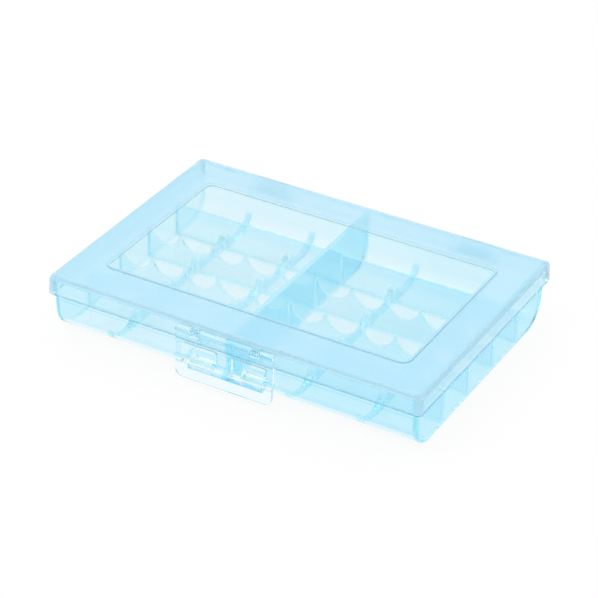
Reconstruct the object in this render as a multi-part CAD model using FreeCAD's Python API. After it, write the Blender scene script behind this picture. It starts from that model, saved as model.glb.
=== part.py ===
import FreeCAD, Part
import os
from math import cos, radians, sin

os.makedirs("parts", exist_ok=True)
V = FreeCAD.Vector

# Driving dimensions, in millimetres, with the origin at the middle of the tray's underside
# X runs along the case, Y from the latch side to the hinge side, Z up

# Places for the cells
bays = 5                        # AA troughs side by side across the tray
bay_pitch = 15.5                # from one trough to the next
scallops_in_half = 5            # AAA places over the middle trough, on each side of the divider
scallop_radius = 5.3
scallop_axis_rise = 0.9         # scallop axis above the partition tops
ribbed_scallops = (1, 3)        # scallops with a cross rib under them, counted from the divider

# Moulded tray
tray_length = 114.4             # outside, at the underside
end_draft = 0.1                 # each end wall leans out this far from underside to rim
wall_lean = radians(2.4)        # each long wall leans out above its round bottom edge
tray_height = 17.8
wall = 1.0
floor = 1.0
tray_edge_radius = 0.6
pocket_edge_slope = 0.4
partition_top = 11.2            # height of the partitions above the underside
partition_top_thickness = 0.7
partition_foot_thickness = 1.0
partition_root = 0.3            # slope in the corner between a partition and the floor
rib_thickness = 1.8
rib_top = 5.7
saddle_rise = 0.6               # lowest place of each saddle above the floor
divider_drop = 0.3              # top of the divider below the rim
divider_top_thickness = 1.3
divider_foot_thickness = 2.0

# Lid
lid_gap = 0.2                   # between the rim and the underside of the lid
lid_fit = 0.2                   # between the rim and the inside of the skirt
lid_thickness = 1.1
skirt_depth = 4.6               # from the underside of the lid to the skirt's edge
skirt_lean = 0.2                # the skirt widens this far, each side, down to its edge
lid_corner_radius = 1.6
lid_edge_radius = 1.1
skirt_pocket_radius = 0.6
window_length = 96.4
window_width = 57.4
window_rise = 0.4
window_corner_radius = 3.0
window_edge_radius = 0.2
window_step_inset = 0.7         # how far the recess under the window lies inside its outline

# Hinge at the back
hinge_station = 34.0            # middle of each hinge from the middle of the case
hinge_width = 14.4
hinge_axis_reach = 4.05         # hinge axis behind the belly of the tray
hinge_axis_drop = 0.4           # hinge axis below the edge of the skirt
hinge_rod_radius = 1.1
hinge_running_gap = 0.05
hinge_ear_thickness = 2.2
hinge_ear_radius = 1.6
hinge_arm_gap = 0.3             # between the edge of the skirt and the arms of the ears
hinge_gusset = 0.3              # how much deeper the arm is at the wall than at the ear
hinge_side_gap = 0.3
knuckle_thickness = 0.9
knuckle_slot = 1.7              # snap slot of a knuckle, less than the rod's diameter

# Catch at the front
catch_half_length = 11.8
catch_rod_radius = 1.1
catch_reach = 1.7               # rod axis in front of the belly of the tray
catch_height = 5.9
catch_end_slope = 0.25
lug_start = 4.6                 # inner and outer face of each lug, from the middle
lug_end = 11.4
lug_rise = 7.1                  # top of each lug above the rod axis
lug_knee_rise = 4.6
lug_knee_reach = 0.75           # knee of the lug in front of the belly

# Latch
latch_width = 30.6
latch_thickness = 1.0
latch_gap = 0.45                # between the skirt's edge and the back of the latch
latch_foot = 2.4                # lower edge of the latch above the table
latch_corner_radius = 2.4
latch_edge_radius = 0.25
tab_rise = 2.0                  # the tab ends this far above the axis of the catch rod
joggle_height = 1.3
tab_gap = 0.15                  # between the catch rod and the back of the tab
latch_window_inner = 2.3        # inner and outer edge of each window, from the middle
latch_window_outer = 13.3
latch_window_rise = 1.6         # foot of each window above the axis of the catch rod
latch_window_drop = 3.9         # top of each window below the pivot
latch_window_radius = 0.8
pivot_drop = 1.8                # latch pivot below the lid's top face
barrel_radius = 0.95
latch_pin_radius = 0.55
latch_running_gap = 0.05
latch_ear_station = 9.5
latch_ear_width = 2.4
latch_ear_radius = 1.05
latch_ear_slot = 0.9            # snap slot of an ear, less than the pin's diameter
latch_side_gap = 0.25

# Every cutter passes the surface that it opens by this much
overrun = 2.0

# Places that follow from the driving dimensions
bay_radius = (bay_pitch - (partition_top_thickness + partition_foot_thickness) / 2) / 2
axis_height = floor + bay_radius
outer_bay = (bays - 1) / 2 * bay_pitch
belly_radius = bay_radius + wall
belly = outer_bay + belly_radius
rim_length = tray_length + end_draft + end_draft
divider_top = tray_height - divider_drop
lid_underside = tray_height + lid_gap
lid_top = lid_underside + lid_thickness
skirt_edge = lid_underside - skirt_depth
hinge_axis = belly + hinge_axis_reach
hinge_axis_height = skirt_edge - hinge_axis_drop
catch_axis = -(belly + catch_reach)


def end_x(z):
    """Outside half length of the tray at height z."""
    return tray_length / 2 + end_draft * z / tray_height


def side_y(radius, z):
    """Half width at height z of a leaning wall that is tangent to a round bottom edge of this radius."""
    return outer_bay + (radius + (z - axis_height) * sin(wall_lean)) / cos(wall_lean)


rim_half_width = side_y(belly_radius, tray_height)


def skirt_reach(half_rim, z):
    """Outside of the skirt at height z, round a rim that reaches half_rim."""
    return half_rim + lid_fit + lid_thickness + skirt_lean * (lid_underside - z) / skirt_depth


def polygon_x(points, x0, x1):
    """Prism along X over a polygon of (y, z) points."""
    corners = [V(x0, y, z) for y, z in points]
    return Part.Face(Part.makePolygon(corners + corners[:1])).extrude(V(x1 - x0, 0, 0))


def polygon_y(points, y0, y1):
    """Prism along Y over a polygon of (x, z) points."""
    corners = [V(x, y0, z) for x, z in points]
    return Part.Face(Part.makePolygon(corners + corners[:1])).extrude(V(0, y1 - y0, 0))


def block(x0, x1, y0, y1, z0, z1):
    """Box between two corners."""
    return Part.makeBox(x1 - x0, y1 - y0, z1 - z0, V(x0, y0, z0))


def rod(radius, x0, x1, y, z):
    """Cylinder along X."""
    return Part.makeCylinder(radius, x1 - x0, V(x0, y, z), V(1, 0, 0))


def upright(edge):
    """Whether an edge climbs more than it runs."""
    box = edge.BoundBox
    return box.ZLength > box.XLength and box.ZLength > box.YLength


def rounded(solid, radius, chosen):
    """Solid with a fillet on each edge for which chosen says yes."""
    return solid.makeFillet(radius, [edge for edge in solid.Edges if chosen(edge)])


def at_height(z):
    """Test for edges that lie at height z."""
    return lambda edge: abs(edge.BoundBox.ZMax - z) + abs(edge.BoundBox.ZMin - z) < wall / 100


def both_ends(shape):
    """The shape and its mirror image in the middle plane of the case."""
    return [shape, shape.mirror(V(0, 0, 0), V(1, 0, 0))]


def drafted_block(half_x, half_y, z0, z1):
    """Block with leaning sides; half_x and half_y give its half sizes at a height."""
    along = [(-half_y(z0), z0), (half_y(z0), z0), (half_y(z1), z1), (-half_y(z1), z1)]
    across = [(-half_x(z0), z0), (half_x(z0), z0), (half_x(z1), z1), (-half_x(z1), z1)]
    x_reach = max(half_x(z0), half_x(z1)) + overrun
    y_reach = max(half_y(z0), half_y(z1)) + overrun
    return polygon_x(along, -x_reach, x_reach).common(polygon_y(across, -y_reach, y_reach))


# Tray

def tub(radius, inset, top):
    """Solid tub whose long bottom edges are round about the outer trough axes."""
    base = axis_height - radius
    side = side_y(radius, top)
    diagonal = radius * cos(radians(45))
    outline = [Part.LineSegment(V(0, -outer_bay, base), V(0, outer_bay, base)).toShape()]
    for sign in (1, -1):
        foot = V(0, sign * outer_bay, base)
        middle = V(0, sign * (outer_bay + diagonal), axis_height - diagonal)
        cheek = V(0, sign * (outer_bay + radius * cos(wall_lean)), axis_height - radius * sin(wall_lean))
        outline.append(Part.Arc(foot, middle, cheek).toShape())
        outline.append(Part.LineSegment(cheek, V(0, sign * side, top)).toShape())
    outline.append(Part.LineSegment(V(0, -side, top), V(0, side, top)).toShape())
    face = Part.Face(Part.Wire(Part.__sortEdges__(outline)))
    reach = end_x(top) + overrun
    face.translate(V(-reach, 0, 0))
    ends = [(-end_x(base) + inset, base), (end_x(base) - inset, base),
            (end_x(top) - inset, top), (-end_x(top) + inset, top)]
    return face.extrude(V(reach + reach, 0, 0)).common(polygon_y(ends, -belly - overrun, belly + overrun))


def end_edges(body):
    """Edges of a tub round its two ends, all but the top ones."""
    box = body.BoundBox
    return [edge for edge in body.Edges
            if abs(edge.CenterOfMass.x) > box.XMax / 2 and edge.BoundBox.ZMin < box.ZMax - wall / 100]


def mid_wall_tub():
    """Solid tub that ends in the middle of the walls and the floor, for trimming what joins them."""
    return tub(bay_radius + wall / 2, wall / 2, tray_height)


def partition(y):
    """Low wall between two troughs, thicker at its foot."""
    foot = partition_foot_thickness / 2
    top = partition_top_thickness / 2
    reach = end_x(partition_top) - wall / 2
    points = [(y - foot - partition_root, floor / 2), (y + foot + partition_root, floor / 2),
              (y + foot + partition_root, floor), (y + foot, floor + partition_root),
              (y + top, partition_top), (y - top, partition_top),
              (y - foot, floor + partition_root), (y - foot - partition_root, floor)]
    return polygon_x(points, -reach, reach)


scallop_pitch = (end_x(floor) - wall - divider_foot_thickness / 2) / scallops_in_half


def scallop_x(index):
    """Middle of a scallop, counted outwards from the divider."""
    return divider_foot_thickness / 2 + (index + 1 / 2) * scallop_pitch


def scallops():
    """Cutters for the AAA places in the two middle partitions."""
    reach = (bay_pitch + bay_radius) / 2
    cutters = []
    for index in range(scallops_in_half):
        start = V(scallop_x(index), -reach, partition_top + scallop_axis_rise)
        cutters += both_ends(Part.makeCylinder(scallop_radius, reach + reach, start, V(0, 1, 0)))
    return cutters


def cross_rib(x):
    """Rib across the tray, from one long wall to the other, with a saddle for the cell in each trough."""
    plate = block(x - rib_thickness / 2, x + rib_thickness / 2, -belly, belly, floor / 2, rib_top)
    plate = plate.common(mid_wall_tub())
    reach = rib_thickness / 2 + overrun
    saddles = [rod(bay_radius, x - reach, x + reach, bay_pitch * (index - (bays - 1) / 2),
                   axis_height + saddle_rise) for index in range(bays)]
    return plate.cut(saddles)


def divider():
    """Full-height wall between the two halves, which follows the round long walls."""
    foot = divider_foot_thickness / 2
    top = divider_top_thickness / 2
    points = [(-foot, floor / 2), (foot, floor / 2), (top, divider_top), (-top, divider_top)]
    return polygon_y(points, -rim_half_width, rim_half_width).common(mid_wall_tub())


def catch():
    """Rod for the latch to grip, on two ramped lugs."""
    bar = rod(catch_rod_radius, -catch_half_length, catch_half_length, catch_axis, catch_height)
    bar = bar.makeChamfer(catch_end_slope, [edge for edge in bar.Edges if abs(edge.CenterOfMass.x) > lug_end])
    slope = catch_rod_radius * cos(radians(45))
    inside = -(belly - wall)
    rod_foot = catch_height - catch_rod_radius
    lug_top = catch_height + lug_rise
    knee = (-belly - lug_knee_reach, catch_height + lug_knee_rise)
    points = [(inside, lug_top), (-side_y(belly_radius, lug_top), lug_top), knee,
              (catch_axis - slope, catch_height + slope), (catch_axis, rod_foot), (inside, rod_foot)]
    return [bar] + both_ends(polygon_x(points, lug_start, lug_end))


def hinge_ears(x):
    """Two ears on the back wall with the hinge rod moulded between them."""
    inner = hinge_width / 2 - hinge_ear_thickness
    outer = hinge_width / 2
    inside = belly - wall / 2
    arm_top = skirt_edge - hinge_arm_gap
    arm = [(inside, arm_top), (hinge_axis, arm_top),
           (hinge_axis, hinge_axis_height - hinge_ear_radius),
           (inside, hinge_axis_height - hinge_ear_radius - hinge_gusset)]
    pieces = [rod(hinge_rod_radius, x - outer, x + outer, hinge_axis, hinge_axis_height)]
    for start in (x - outer, x + inner):
        end = start + hinge_ear_thickness
        pieces.append(rod(hinge_ear_radius, start, end, hinge_axis, hinge_axis_height))
        pieces.append(polygon_x(arm, start, end))
    return pieces


def base_tray():
    """Tray with its troughs, saddles, AAA scallops, divider, catch and hinge rods, moulded in one."""
    fittings = catch() + hinge_ears(-hinge_station) + hinge_ears(hinge_station)
    outside = tub(belly_radius, 0, tray_height)
    outside = outside.makeFillet(tray_edge_radius, end_edges(outside))
    pocket = tub(bay_radius, wall, tray_height + overrun)
    pocket = pocket.makeChamfer(pocket_edge_slope, end_edges(pocket))
    shell = outside.fuse(fittings).cut(pocket)
    partitions = [partition(bay_pitch * (index - bays / 2 + 1)) for index in range(bays - 1)]
    walls = partitions[0].fuse(partitions[1:]).cut(scallops())
    ribs = []
    for index in ribbed_scallops:
        ribs += [cross_rib(scallop_x(index)), cross_rib(-scallop_x(index))]
    return shell.fuse([walls] + ribs + [divider()]).removeSplitter()


# Lid

def lid_half_length(z):
    return skirt_reach(rim_length / 2, z)


def lid_half_width(z):
    return skirt_reach(rim_half_width, z)


def lid_shell():
    """Drafted cap with a skirt and a window panel that stands proud of its frame."""
    cap = drafted_block(lid_half_length, lid_half_width, skirt_edge, lid_top)
    cap = rounded(cap, lid_corner_radius, upright)
    cap = rounded(cap, lid_edge_radius, at_height(lid_top))
    pocket = drafted_block(lambda z: lid_half_length(z) - lid_thickness,
                           lambda z: lid_half_width(z) - lid_thickness, skirt_edge - overrun, lid_underside)
    pocket = rounded(pocket, skirt_pocket_radius, upright)
    half_x = window_length / 2
    half_y = window_width / 2
    panel = block(-half_x, half_x, -half_y, half_y, lid_underside + window_rise, lid_top + window_rise)
    panel = rounded(panel, window_corner_radius, upright)
    panel = rounded(panel, window_edge_radius, at_height(lid_top + window_rise))
    half_x -= window_step_inset
    half_y -= window_step_inset
    recess = block(-half_x, half_x, -half_y, half_y, lid_underside - overrun, lid_underside + window_rise)
    recess = rounded(recess, window_corner_radius - window_step_inset, upright)
    return cap.cut(pocket).fuse(panel).cut(recess)


def knuckle(x):
    """Open knuckle that snaps over the hinge rod, its web to the skirt, and its bore with the slot."""
    half = hinge_width / 2 - hinge_ear_thickness - hinge_side_gap
    bore = hinge_rod_radius + hinge_running_gap
    radius = bore + knuckle_thickness
    skirt_middle = lid_half_width(skirt_edge) - lid_thickness / 2
    ring = rod(radius, x - half, x + half, hinge_axis, hinge_axis_height)
    web = block(x - half, x + half, skirt_middle, hinge_axis, skirt_edge, hinge_axis_height + radius)
    opening = rod(bore, x - half - overrun, x + half + overrun, hinge_axis, hinge_axis_height)
    slot = block(x - half - overrun, x + half + overrun, hinge_axis - knuckle_slot / 2,
                 hinge_axis + knuckle_slot / 2, hinge_axis_height - radius - overrun, hinge_axis_height)
    return ring.fuse(web).cut([opening, slot])


pivot_height = lid_top - pivot_drop
latch_back = -(lid_half_width(skirt_edge) + latch_gap)
pivot_y = latch_back - latch_thickness / 2


def latch_ear(x):
    """Open ear on the front of the skirt, which the latch's pin snaps into from above."""
    start = x - latch_ear_width / 2
    end = x + latch_ear_width / 2
    bore = latch_pin_radius + latch_running_gap
    skirt_middle = -(lid_half_width(pivot_height) - lid_thickness / 2)
    ear_top = pivot_height + latch_ear_radius
    nose = rod(latch_ear_radius, start, end, pivot_y, pivot_height)
    neck = block(start, end, pivot_y, skirt_middle, pivot_height - latch_ear_radius, ear_top)
    opening = rod(bore, start - overrun, end + overrun, pivot_y, pivot_height)
    slot = block(start - overrun, end + overrun, pivot_y - latch_ear_slot / 2, pivot_y + latch_ear_slot / 2,
                 pivot_height, ear_top + overrun)
    return nose.fuse(neck).cut([opening, slot])


def lid():
    """Lid with its back knuckles and the ears that carry the latch."""
    fittings = [knuckle(x) for x in (-hinge_station, hinge_station)]
    fittings += [latch_ear(x) for x in (-latch_ear_station, latch_ear_station)]
    return lid_shell().fuse(fittings).removeSplitter()


# Latch

def latch():
    """Clear snap latch: barrel with two pins, plate with two windows, and a tab in front of the rod."""
    half = latch_width / 2
    front = latch_back - latch_thickness
    tab_back = catch_axis - catch_rod_radius - tab_gap
    tab_front = tab_back - latch_thickness
    tab_top = catch_height + tab_rise
    joggle_top = tab_top + joggle_height
    profile = [(latch_back, pivot_height), (latch_back, joggle_top), (tab_back, tab_top),
               (tab_back, latch_foot), (tab_front, latch_foot), (tab_front, tab_top),
               (front, joggle_top), (front, pivot_height)]
    plate = polygon_x(profile, -half, half)
    outline = block(-half, half, tab_front - overrun, latch_back + overrun, latch_foot, pivot_height)
    outline = rounded(outline, latch_corner_radius, lambda edge: edge.BoundBox.YLength > latch_thickness
                      and edge.BoundBox.ZMax < tab_top and edge.BoundBox.XLength < latch_thickness)
    plate = plate.common(outline)
    plate = rounded(plate, latch_edge_radius, lambda edge: edge.BoundBox.ZMin < tab_top - latch_edge_radius
                    and abs(edge.CenterOfMass.y - tab_front) < latch_thickness / 100)
    window = block(latch_window_inner, latch_window_outer, tab_front - overrun, latch_back + overrun,
                   catch_height + latch_window_rise, pivot_height - latch_window_drop)
    window = rounded(window, latch_window_radius, lambda edge: edge.BoundBox.YLength > latch_thickness)
    body = plate.fuse(rod(barrel_radius, -half, half, pivot_y, pivot_height))
    notch_half = latch_ear_width / 2 + latch_side_gap
    clear = latch_ear_radius + latch_side_gap
    notch = block(latch_ear_station - notch_half, latch_ear_station + notch_half, front - overrun,
                  latch_back + overrun, pivot_height - clear, pivot_height + clear)
    body = body.cut(both_ends(window) + both_ends(notch))
    pin = rod(latch_pin_radius, latch_ear_station - notch_half, latch_ear_station + notch_half,
              pivot_y, pivot_height)
    return body.fuse(both_ends(pin)).removeSplitter()


for name, make in (("base_tray", base_tray), ("lid", lid), ("latch", latch)):
    shape = make()
    print(name, "solids", len(shape.Solids), "valid", shape.isValid(), "volume", round(shape.Volume, 1))
    shape.exportStep("parts/" + name + ".step")
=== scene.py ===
import bpy
from math import radians
from mathutils import Matrix, Vector


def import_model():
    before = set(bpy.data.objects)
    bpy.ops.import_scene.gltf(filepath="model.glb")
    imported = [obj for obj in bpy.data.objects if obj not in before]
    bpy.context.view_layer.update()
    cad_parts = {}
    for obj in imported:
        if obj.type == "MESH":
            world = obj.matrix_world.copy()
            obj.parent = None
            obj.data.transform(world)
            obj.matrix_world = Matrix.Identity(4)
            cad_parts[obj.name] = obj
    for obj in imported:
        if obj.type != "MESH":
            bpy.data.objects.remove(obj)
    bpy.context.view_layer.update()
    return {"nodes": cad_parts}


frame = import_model()

MM = 0.001                          # the scene is in metres, sizes here are in millimetres

# Camera, from the fit to the photograph's edges, in millimetres and degrees
CAMERA_PLACE = (271.4, -496.9, 361.5)
CAMERA_AZIMUTH = 28.707
CAMERA_ELEVATION = 31.916
CAMERA_ROLL = 1.629
CAMERA_LENS = 141.17
SENSOR_WIDTH = 36.0

# Features that the finish follows, in millimetres
WINDOW_HALF = (48.2, 28.7)
WINDOW_CORNER = 3.0
LID_TOP = 19.1
LID_WALL = 1.1
LID_HALF = (58.4, 40.9)
SKIRT_EDGE = 13.4
BAY_PITCH = 15.5
TRAY_FLOOR = 1.0
PARTITION_TOP = 11.2
RIB_STATIONS = (17.56, 39.64)
RIB_HALF = 0.9
RIB_TOP = 5.7
DIVIDER_HALF = 1.0
INNER_END = 56.2
OUTER_TROUGH = 31.0
TROUGH_AXIS = 8.325
TROUGH_RADIUS = 7.325
SCALLOP_PITCH = 11.041
SCALLOP_RADIUS = 5.3
SCALLOP_AXIS = 12.1

# Masks: depths inside a face at which a mask starts and is full, in millimetres; past the face they are negative
SKIN = (0.6, 0.3)                   # inner faces of the tray's shell and end walls
END_FACE = (0.1, -0.1)              # end walls themselves
PAST_FACE = (0.0, -0.3)
PAST_TOP = (0.0, -0.2)
CREST = (0.5, 0.3)                  # under the top of a partition
MIDDLE_BAYS = (0.5, 0.0)            # only the two middle partitions have scallops
TOP_FACE = (0.4, 0.1)               # top of the lid's frame
TOP_EDGE = (0.9, 0.5)               # round edge between the lid's top and its skirt
CORNER = (2.0, 1.6)                 # upright corners of the lid
FITTING = (-0.5, -0.8)              # knuckles and ears, outside the skirt
HEM = (-0.1, -0.4)                  # lower edge of the skirt
FRAME_START = (-0.1, -0.3)          # outside the window's outline
PANE_END = (0.2, -0.2)              # across the window's outline
PANE_DEPTH = (1.0, 0.5)
STEP_DEPTH = (1.0, 0.6)             # wall between the frame and the raised window

# Masks: half widths about a middle, in millimetres
PANEL_REACH = 0.75
ROOT_REACH = 0.95
ROOT_MIDDLE = TRAY_FLOOR + 0.3
ROOT_HEIGHT = 0.4
RIM_REACH = 0.3
CEILING_REACH = (0.2, 0.1)          # reach and softness
EDGE_MIDDLE = LID_TOP - 0.6
EDGE_REACH = (0.5, 0.3)
STEP_MIDDLE = -0.3
STEP_REACH = 0.5
BELLY_ACROSS = (0.0, 4.0)           # round long bottom edges, from the last trough's axis outwards
BELLY_UP = (1.0, 5.0)

# Share of the deep blue at each place: the plastic's own deep tone on the divider, ribs, partition walls, frosted
# frame and window, and painted shade at the tray's roots, corners, crests, scallop rims, round bottom edges and end
# walls and on the lid's upright corners, round top edge and window step
TRAY_DEEP_AND_SHADE = {"divider": 0.9, "ribs": 1.0, "root": 1.0, "crest": 0.8, "rim": 0.5, "end_root": 1.0, "end_corner": 0.6,
             "panels": 0.2, "belly": 0.25, "end_wall": 0.45}
LID_DEEP_AND_SHADE = {"corner": 0.3, "edge": 0.5, "step": 0.35, "frost": 0.2, "pane": 0.12}
TRAY_CLOUD = 0.06
LID_CLOUD = 0.08
SHADE_DRIFT = 0.18                        # painted shade: the tray is painted deeper in colour from its middle to the right
SHADE_DRIFT_ALONG = (0.0, 30.0)

# Share of milky and of thin plastic
FROST_MILK = (0.4, 0.2)             # least, and what the grain adds
SOFT_MILK = 0.6
HEM_THIN = 0.75
FITTING_THIN = 0.5

# Roughness: least, and what unevenness adds
TRAY_ROUGH = (0.03, 0.04)
LID_ROUGH = (0.06, 0.04)
CLEAR_ROUGH = (0.03, 0.03)
FROST_ROUGH = (0.08, 0.04)
SOFT_ROUGH = 0.3

# Noise scales per millimetre, and heights of the bumps in millimetres
WAVE_SCALE = 0.09
WAVE_HEIGHT = 0.02
CLOUD_SCALE = 0.05
CLEAR_CLOUD_SCALE = 0.1
TRAY_SMEAR = 0.4
LID_SMEAR = 0.5
GRAIN_SCALE = 6.0
GRAIN_HEIGHT = 0.01

# Plastic colours
BLUE_CLEAR = (0.975, 0.995, 1.0, 1.0)
BLUE_LIGHT = (0.895, 0.975, 1.0, 1.0)
# deep blue, used both for the plastic's deep tone and for painted shade
BLUE_DEEP_AND_SHADE = (0.42, 0.85, 0.99, 1.0)
BLUE_MILK = (0.49, 0.77, 0.94, 1.0)
BLUE_THIN = (0.8, 0.94, 1.0, 1.0)
BLUE_ABSORB = (0.4, 0.95, 1.0, 1.0)
BLUE_DENSITY = 20.0
CLEAR_LIGHT = (0.91, 0.98, 1.0, 1.0)
CLEAR_DEEP = (0.82, 0.95, 1.0, 1.0)
CLEAR_ABSORB = (0.72, 0.86, 0.95, 1.0)
CLEAR_DENSITY = 20.0
PLASTIC_IOR = 1.49
BOUNCES = 64                        # light runs far inside clear walls

# Studio, in metres and watts
WHITE = (1.0, 1.0, 1.0, 1.0)
FLOOR_SIZE = 6.0
FLOOR_SHADE = (0.93, 0.94, 0.95, 1.0)
FLOOR_WHITE = 0.93                  # share of plain white that the camera sees on the floor
KEY_PLACE = (-0.4, -0.5, 1.2)
KEY_SIZE = 0.8
KEY_POWER = 3.0
CLIP_START = 0.01


class Value:
    """A shader socket that can be used in Python sums."""

    def __init__(self, graph, socket):
        self.graph = graph
        self.socket = socket

    def __add__(self, other):
        return self.graph.maths("ADD", self, other)

    def __sub__(self, other):
        return self.graph.maths("SUBTRACT", self, other)

    def __mul__(self, other):
        return self.graph.maths("MULTIPLY", self, other)

    def __rsub__(self, other):
        return self.graph.maths("SUBTRACT", other, self)

    def __abs__(self):
        return self.graph.maths("ABSOLUTE", self)

    __radd__ = __add__
    __rmul__ = __mul__

    def above(self, low, high):
        """Smooth step from 0 at low to 1 at high."""
        return self.graph.node("ShaderNodeMapRange", {"interpolation_type": "SMOOTHSTEP"},
                               {"Value": self, "From Min": low, "From Max": high})

    def inside(self, face, depths):
        """Smooth step from 0 to 1 between two depths inside a face."""
        return self.above(face - depths[0], face - depths[1])

    def near(self, place, reach, soft=0.15):
        """1 within reach of place, and 0 beyond it."""
        return 1.0 - abs(self - place).above(reach - soft, reach + soft)


class Graph:
    """The node tree of one material."""

    def __init__(self, name):
        self.material = bpy.data.materials.new(name)
        self.material.use_nodes = True
        self.tree = self.material.node_tree
        self.tree.nodes.clear()

    def make(self, kind, settings=None, inputs=None):
        """A node with its settings set first, and then the values or links of its sockets."""
        node = self.tree.nodes.new(kind)
        for name, value in (settings or {}).items():
            setattr(node, name, value)
        for name, value in (inputs or {}).items():
            socket = node.inputs[name]
            if isinstance(value, Value):
                self.tree.links.new(value.socket, socket)
            else:
                socket.default_value = value
        return node

    def node(self, kind, settings=None, inputs=None, output=0):
        """One output of a new node."""
        return Value(self, self.make(kind, settings, inputs).outputs[output])

    def maths(self, operation, *values):
        return self.node("ShaderNodeMath", {"operation": operation}, dict(enumerate(values)))

    def most(self, values):
        """The largest of several values."""
        top = values[0]
        for value in values[1:]:
            top = self.maths("MAXIMUM", top, value)
        return top

    def length(self, first, second):
        """Length of the diagonal over two distances."""
        return self.maths("SQRT", first * first + second * second)

    def blend(self, share, first, second):
        """Colour between first and second."""
        mix = self.make("ShaderNodeMix", {"data_type": "RGBA"})
        self.tree.links.new(share.socket, mix.inputs[0])
        mix.inputs[6].default_value = first
        mix.inputs[7].default_value = second
        return Value(self, mix.outputs[2])

    def mixed(self, share, first, second):
        """Shader between first and second."""
        mix = self.make("ShaderNodeMixShader", None, {0: share})
        self.tree.links.new(first.socket, mix.inputs[1])
        self.tree.links.new(second.socket, mix.inputs[2])
        return Value(self, mix.outputs[0])

    def place(self):
        """Object coordinates in millimetres, as a vector and as its three numbers."""
        metres = self.node("ShaderNodeTexCoord", output="Object")
        vector = self.node("ShaderNodeVectorMath", {"operation": "SCALE"}, {0: metres, "Scale": 1 / MM})
        parts = self.make("ShaderNodeSeparateXYZ", None, {0: vector})
        return vector, [Value(self, socket) for socket in parts.outputs]

    def noise(self, vector, scale, detail=2.0):
        return self.node("ShaderNodeTexNoise", None, {"Vector": vector, "Scale": scale, "Detail": detail})

    def uneven(self, vector, amounts, scale):
        """A least amount and what noise adds to it."""
        return amounts[0] + amounts[1] * self.noise(vector, scale)

    def bump(self, height, distance, normal=None):
        """Normal over a height from 0 to 1, which stands for a distance in millimetres."""
        inputs = {"Height": height, "Distance": distance * MM, "Strength": 1.0}
        if normal is not None:
            inputs["Normal"] = normal
        return self.node("ShaderNodeBump", None, inputs)

    def finish(self, surface, volume=None):
        """Links the output and gives the material."""
        inputs = {"Surface": surface}
        if volume is not None:
            inputs["Volume"] = volume
        self.make("ShaderNodeOutputMaterial", None, inputs)
        return self.material


def plastic(graph, tint, roughness, normal, absorb, density, milk=None, thin=None):
    """Moulded see-through plastic that deepens in colour with its thickness, with its milky and its thin places."""
    surface = graph.node("ShaderNodeBsdfPrincipled", None, {
        "Base Color": tint, "Roughness": roughness, "IOR": PLASTIC_IOR,
        "Transmission Weight": 1.0, "Normal": normal})
    if milk is not None:
        scatter = graph.node("ShaderNodeBsdfDiffuse", None, {"Color": BLUE_MILK, "Normal": normal})
        surface = graph.mixed(milk, surface, scatter)
    if thin is not None:
        straight = graph.node("ShaderNodeBsdfTransparent", None, {"Color": BLUE_THIN})
        surface = graph.mixed(thin, surface, straight)
    volume = graph.node("ShaderNodeVolumeAbsorption", None, {"Color": absorb, "Density": density})
    return graph.finish(surface, volume)


def mould_wave(graph, vector):
    """Slight unevenness that the melt leaves on a polished face."""
    return graph.bump(graph.noise(vector, WAVE_SCALE, 1.0), WAVE_HEIGHT)


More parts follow.
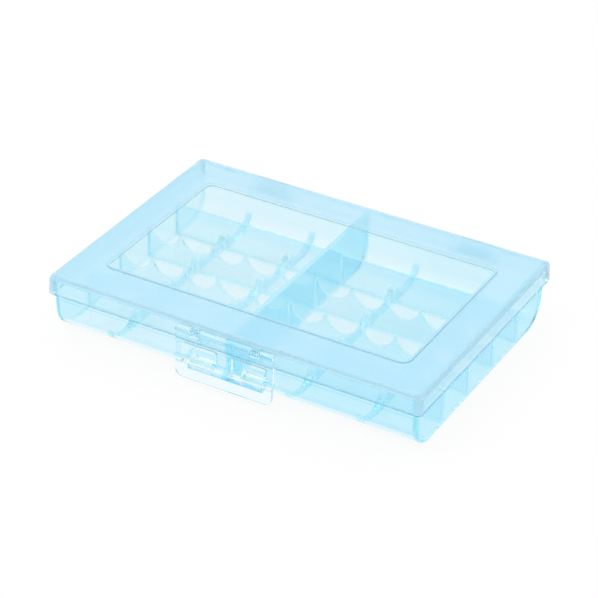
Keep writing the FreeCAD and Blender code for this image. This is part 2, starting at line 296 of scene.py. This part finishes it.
def tray_plastic():
    """Polished blue plastic, deeper in colour where the moulding is thick: ribs, divider and partitions; with
    painted shade in the roots, corners, crests, scallop rims, round bottom edges and end walls, and painted shade
    that deepens to the right.
    """
    graph = Graph("blue_plastic")
    vector, (x, y, z) = graph.place()
    from_middle = abs(x)
    from_partition = graph.maths("PINGPONG", y + BAY_PITCH / 2, BAY_PITCH / 2)
    past_trough = graph.most([abs(y) - OUTER_TROUGH, 0.0])
    under_axis = graph.most([TROUGH_AXIS - z, 0.0])
    shell = graph.length(past_trough, under_axis).inside(TROUGH_RADIUS, SKIN)
    at_end = from_middle.inside(INNER_END, SKIN)
    ribs = [from_middle.near(station, RIB_HALF) for station in RIB_STATIONS]
    panels = from_partition.near(0.0, PANEL_REACH) * (1.0 - z.inside(PARTITION_TOP, PAST_TOP))
    from_scallop = graph.maths("PINGPONG", from_middle - DIVIDER_HALF - SCALLOP_PITCH / 2, SCALLOP_PITCH / 2)
    rim = graph.length(from_scallop, z - SCALLOP_AXIS).near(SCALLOP_RADIUS, RIM_REACH)
    places = {
        "divider": (1.0 - from_middle.inside(DIVIDER_HALF, PAST_FACE)) * z.inside(TRAY_FLOOR, PAST_FACE),
        "ribs": graph.most(ribs) * z.near((TRAY_FLOOR + RIB_TOP) / 2, (RIB_TOP - TRAY_FLOOR) / 2),
        "root": from_partition.near(0.0, ROOT_REACH) * z.near(ROOT_MIDDLE, ROOT_HEIGHT),
        "crest": panels * z.inside(PARTITION_TOP, CREST),
        "rim": rim * panels * (1.0 - abs(y).inside(BAY_PITCH, MIDDLE_BAYS)),
        "end_root": at_end * panels,
        "end_corner": at_end * shell,
        "panels": panels,
        "belly": past_trough.above(*BELLY_ACROSS) * (1.0 - z.above(*BELLY_UP)),
        "end_wall": from_middle.inside(INNER_END, END_FACE)}
    # painted shade: roots, corners, crests, scallop rims, round bottom edges and end walls get deep blue as shade;
    # divider, ribs and partitions get their deep tone
    deep_and_shade = graph.most([places[name] * share for name, share in TRAY_DEEP_AND_SHADE.items()])
    # painted shade: the drift makes the tray deeper in colour towards the right; the noise is the plastic's uneven
    # tone
    tone = TRAY_CLOUD * graph.noise(vector, CLOUD_SCALE) + SHADE_DRIFT * x.above(*SHADE_DRIFT_ALONG)
    tint = graph.blend(graph.maths("MINIMUM", deep_and_shade + tone, 1.0), BLUE_LIGHT, BLUE_DEEP_AND_SHADE)
    roughness = graph.uneven(vector, TRAY_ROUGH, TRAY_SMEAR)
    return plastic(graph, tint, roughness, mould_wave(graph, vector), BLUE_ABSORB, BLUE_DENSITY)


def window_outline(graph, x, y):
    """Distance outside the window's rounded outline, in millimetres."""
    across = abs(x) - (WINDOW_HALF[0] - WINDOW_CORNER)
    along = abs(y) - (WINDOW_HALF[1] - WINDOW_CORNER)
    corner = graph.length(graph.most([across, 0.0]), graph.most([along, 0.0]))
    within = graph.maths("MINIMUM", graph.most([across, along]), 0.0)
    return corner + within - WINDOW_CORNER


def lid_plastic():
    """Blue plastic with a finely frosted frame round the polished window, and soft edges with painted shade."""
    graph = Graph("lid_plastic")
    vector, (x, y, z) = graph.place()
    outline = window_outline(graph, x, y)
    rim = graph.most([abs(x).inside(LID_HALF[0], TOP_EDGE), abs(y).inside(LID_HALF[1], TOP_EDGE)])
    ceiling = z.near(LID_TOP - LID_WALL, *CEILING_REACH) * (1.0 - rim)
    hem = 1.0 - z.inside(SKIRT_EDGE, HEM)
    places = {
        "corner": abs(x).inside(LID_HALF[0], CORNER) * abs(y).inside(LID_HALF[1], CORNER),
        "edge": rim * z.near(EDGE_MIDDLE, *EDGE_REACH),
        "step": outline.near(STEP_MIDDLE, STEP_REACH) * z.inside(LID_TOP, STEP_DEPTH),
        "frost": outline.inside(0.0, FRAME_START) * graph.most([z.inside(LID_TOP, TOP_FACE), ceiling]),
        "pane": (1.0 - outline.inside(0.0, PANE_END)) * z.inside(LID_TOP, PANE_DEPTH)}
    # painted shade: the upright corners, round top edge and window step get deep blue as shade; frame and window
    # get the plastic's own tone
    deep_and_shade = graph.most([places[name] * share for name, share in LID_DEEP_AND_SHADE.items()])
    frost = places["frost"]
    soft = graph.most([places["corner"], places["edge"], places["step"], hem])
    grain = graph.noise(vector, GRAIN_SCALE, 3.0)
    roughness = graph.uneven(vector, LID_ROUGH, LID_SMEAR)
    roughness = roughness + frost * (FROST_ROUGH[0] + FROST_ROUGH[1] * grain) + SOFT_ROUGH * soft
    normal = graph.bump(grain * frost, GRAIN_HEIGHT, mould_wave(graph, vector))
    tone = LID_CLOUD * graph.noise(vector, CLOUD_SCALE)
    tint = graph.blend(deep_and_shade + tone, BLUE_CLEAR, BLUE_DEEP_AND_SHADE)
    outer_face = 1.0 - graph.node("ShaderNodeNewGeometry", output="Backfacing")
    milk = outer_face * graph.most([frost * (FROST_MILK[0] + FROST_MILK[1] * grain), soft * SOFT_MILK])
    thin = graph.most([hem * HEM_THIN, abs(y).inside(LID_HALF[1], FITTING) * FITTING_THIN])
    return plastic(graph, tint, roughness, normal, BLUE_ABSORB, BLUE_DENSITY, milk, thin)


def clear_plastic():
    """Colourless clear plastic."""
    graph = Graph("clear_plastic")
    vector = graph.place()[0]
    tint = graph.blend(graph.noise(vector, CLEAR_CLOUD_SCALE), CLEAR_LIGHT, CLEAR_DEEP)
    roughness = graph.uneven(vector, CLEAR_ROUGH, LID_SMEAR)
    return plastic(graph, tint, roughness, mould_wave(graph, vector), CLEAR_ABSORB, CLEAR_DENSITY)


def dress(node, material):
    """Gives a CAD node its finish."""
    piece = frame["nodes"][node]
    piece.data.materials.clear()
    piece.data.materials.append(material)


def floor():
    """White table that keeps the shadow of the case, plain white in gloss and through plastic."""
    graph = Graph("studio_floor")
    rays = graph.make("ShaderNodeLightPath")
    camera_ray, glossy_ray, through_ray = [Value(graph, rays.outputs[name]) for name in
                                           ("Is Camera Ray", "Is Glossy Ray", "Is Transmission Ray")]
    white = graph.most([camera_ray * FLOOR_WHITE, glossy_ray, through_ray])
    shade = graph.node("ShaderNodeBsdfDiffuse", None, {"Color": FLOOR_SHADE})
    glow = graph.node("ShaderNodeEmission", None, {"Color": WHITE, "Strength": 1.0})
    material = graph.finish(graph.mixed(white, shade, glow))
    bpy.ops.mesh.primitive_plane_add(size=FLOOR_SIZE, location=(0.0, 0.0, 0.0))
    plane = bpy.context.active_object
    plane.name = "studio_floor"
    plane.data.materials.append(material)


def world():
    """Even white studio, seen as plain white."""
    sky = bpy.data.worlds.new("studio")
    sky.use_nodes = True
    background = sky.node_tree.nodes["Background"]
    background.inputs["Color"].default_value = WHITE
    background.inputs["Strength"].default_value = 1.0
    bpy.context.scene.world = sky


def softbox():
    """Large soft lamp over the front left, turned to the case."""
    lamp = bpy.data.lights.new("key", "AREA")
    lamp.shape = "RECTANGLE"
    lamp.size = KEY_SIZE
    lamp.size_y = KEY_SIZE
    lamp.energy = KEY_POWER
    holder = bpy.data.objects.new("key", lamp)
    holder.location = KEY_PLACE
    holder.rotation_euler = (-Vector(KEY_PLACE)).to_track_quat("-Z", "Y").to_euler()
    bpy.context.scene.collection.objects.link(holder)


def camera():
    """Camera at the photograph's angle."""
    forward = Vector((0.0, 1.0, 0.0))
    forward.rotate(Matrix.Rotation(radians(-CAMERA_ELEVATION), 3, "X"))
    forward.rotate(Matrix.Rotation(radians(CAMERA_AZIMUTH), 3, "Z"))
    turn = forward.to_track_quat("-Z", "Y").to_matrix() @ Matrix.Rotation(radians(CAMERA_ROLL), 3, "Z")
    data = bpy.data.cameras.new("photo_camera")
    data.lens = CAMERA_LENS
    data.sensor_width = SENSOR_WIDTH
    data.clip_start = CLIP_START
    holder = bpy.data.objects.new("photo_camera", data)
    holder.matrix_world = Matrix.Translation(Vector(CAMERA_PLACE) * MM) @ turn.to_4x4()
    bpy.context.scene.collection.objects.link(holder)
    bpy.context.scene.camera = holder


dress("base_tray", tray_plastic())
dress("lid", lid_plastic())
dress("latch", clear_plastic())
floor()
world()
softbox()
camera()

settings = bpy.context.scene
settings.view_settings.view_transform = "Standard"
for name in ("max_bounces", "diffuse_bounces", "glossy_bounces", "transmission_bounces", "transparent_max_bounces"):
    setattr(settings.cycles, name, BOUNCES)
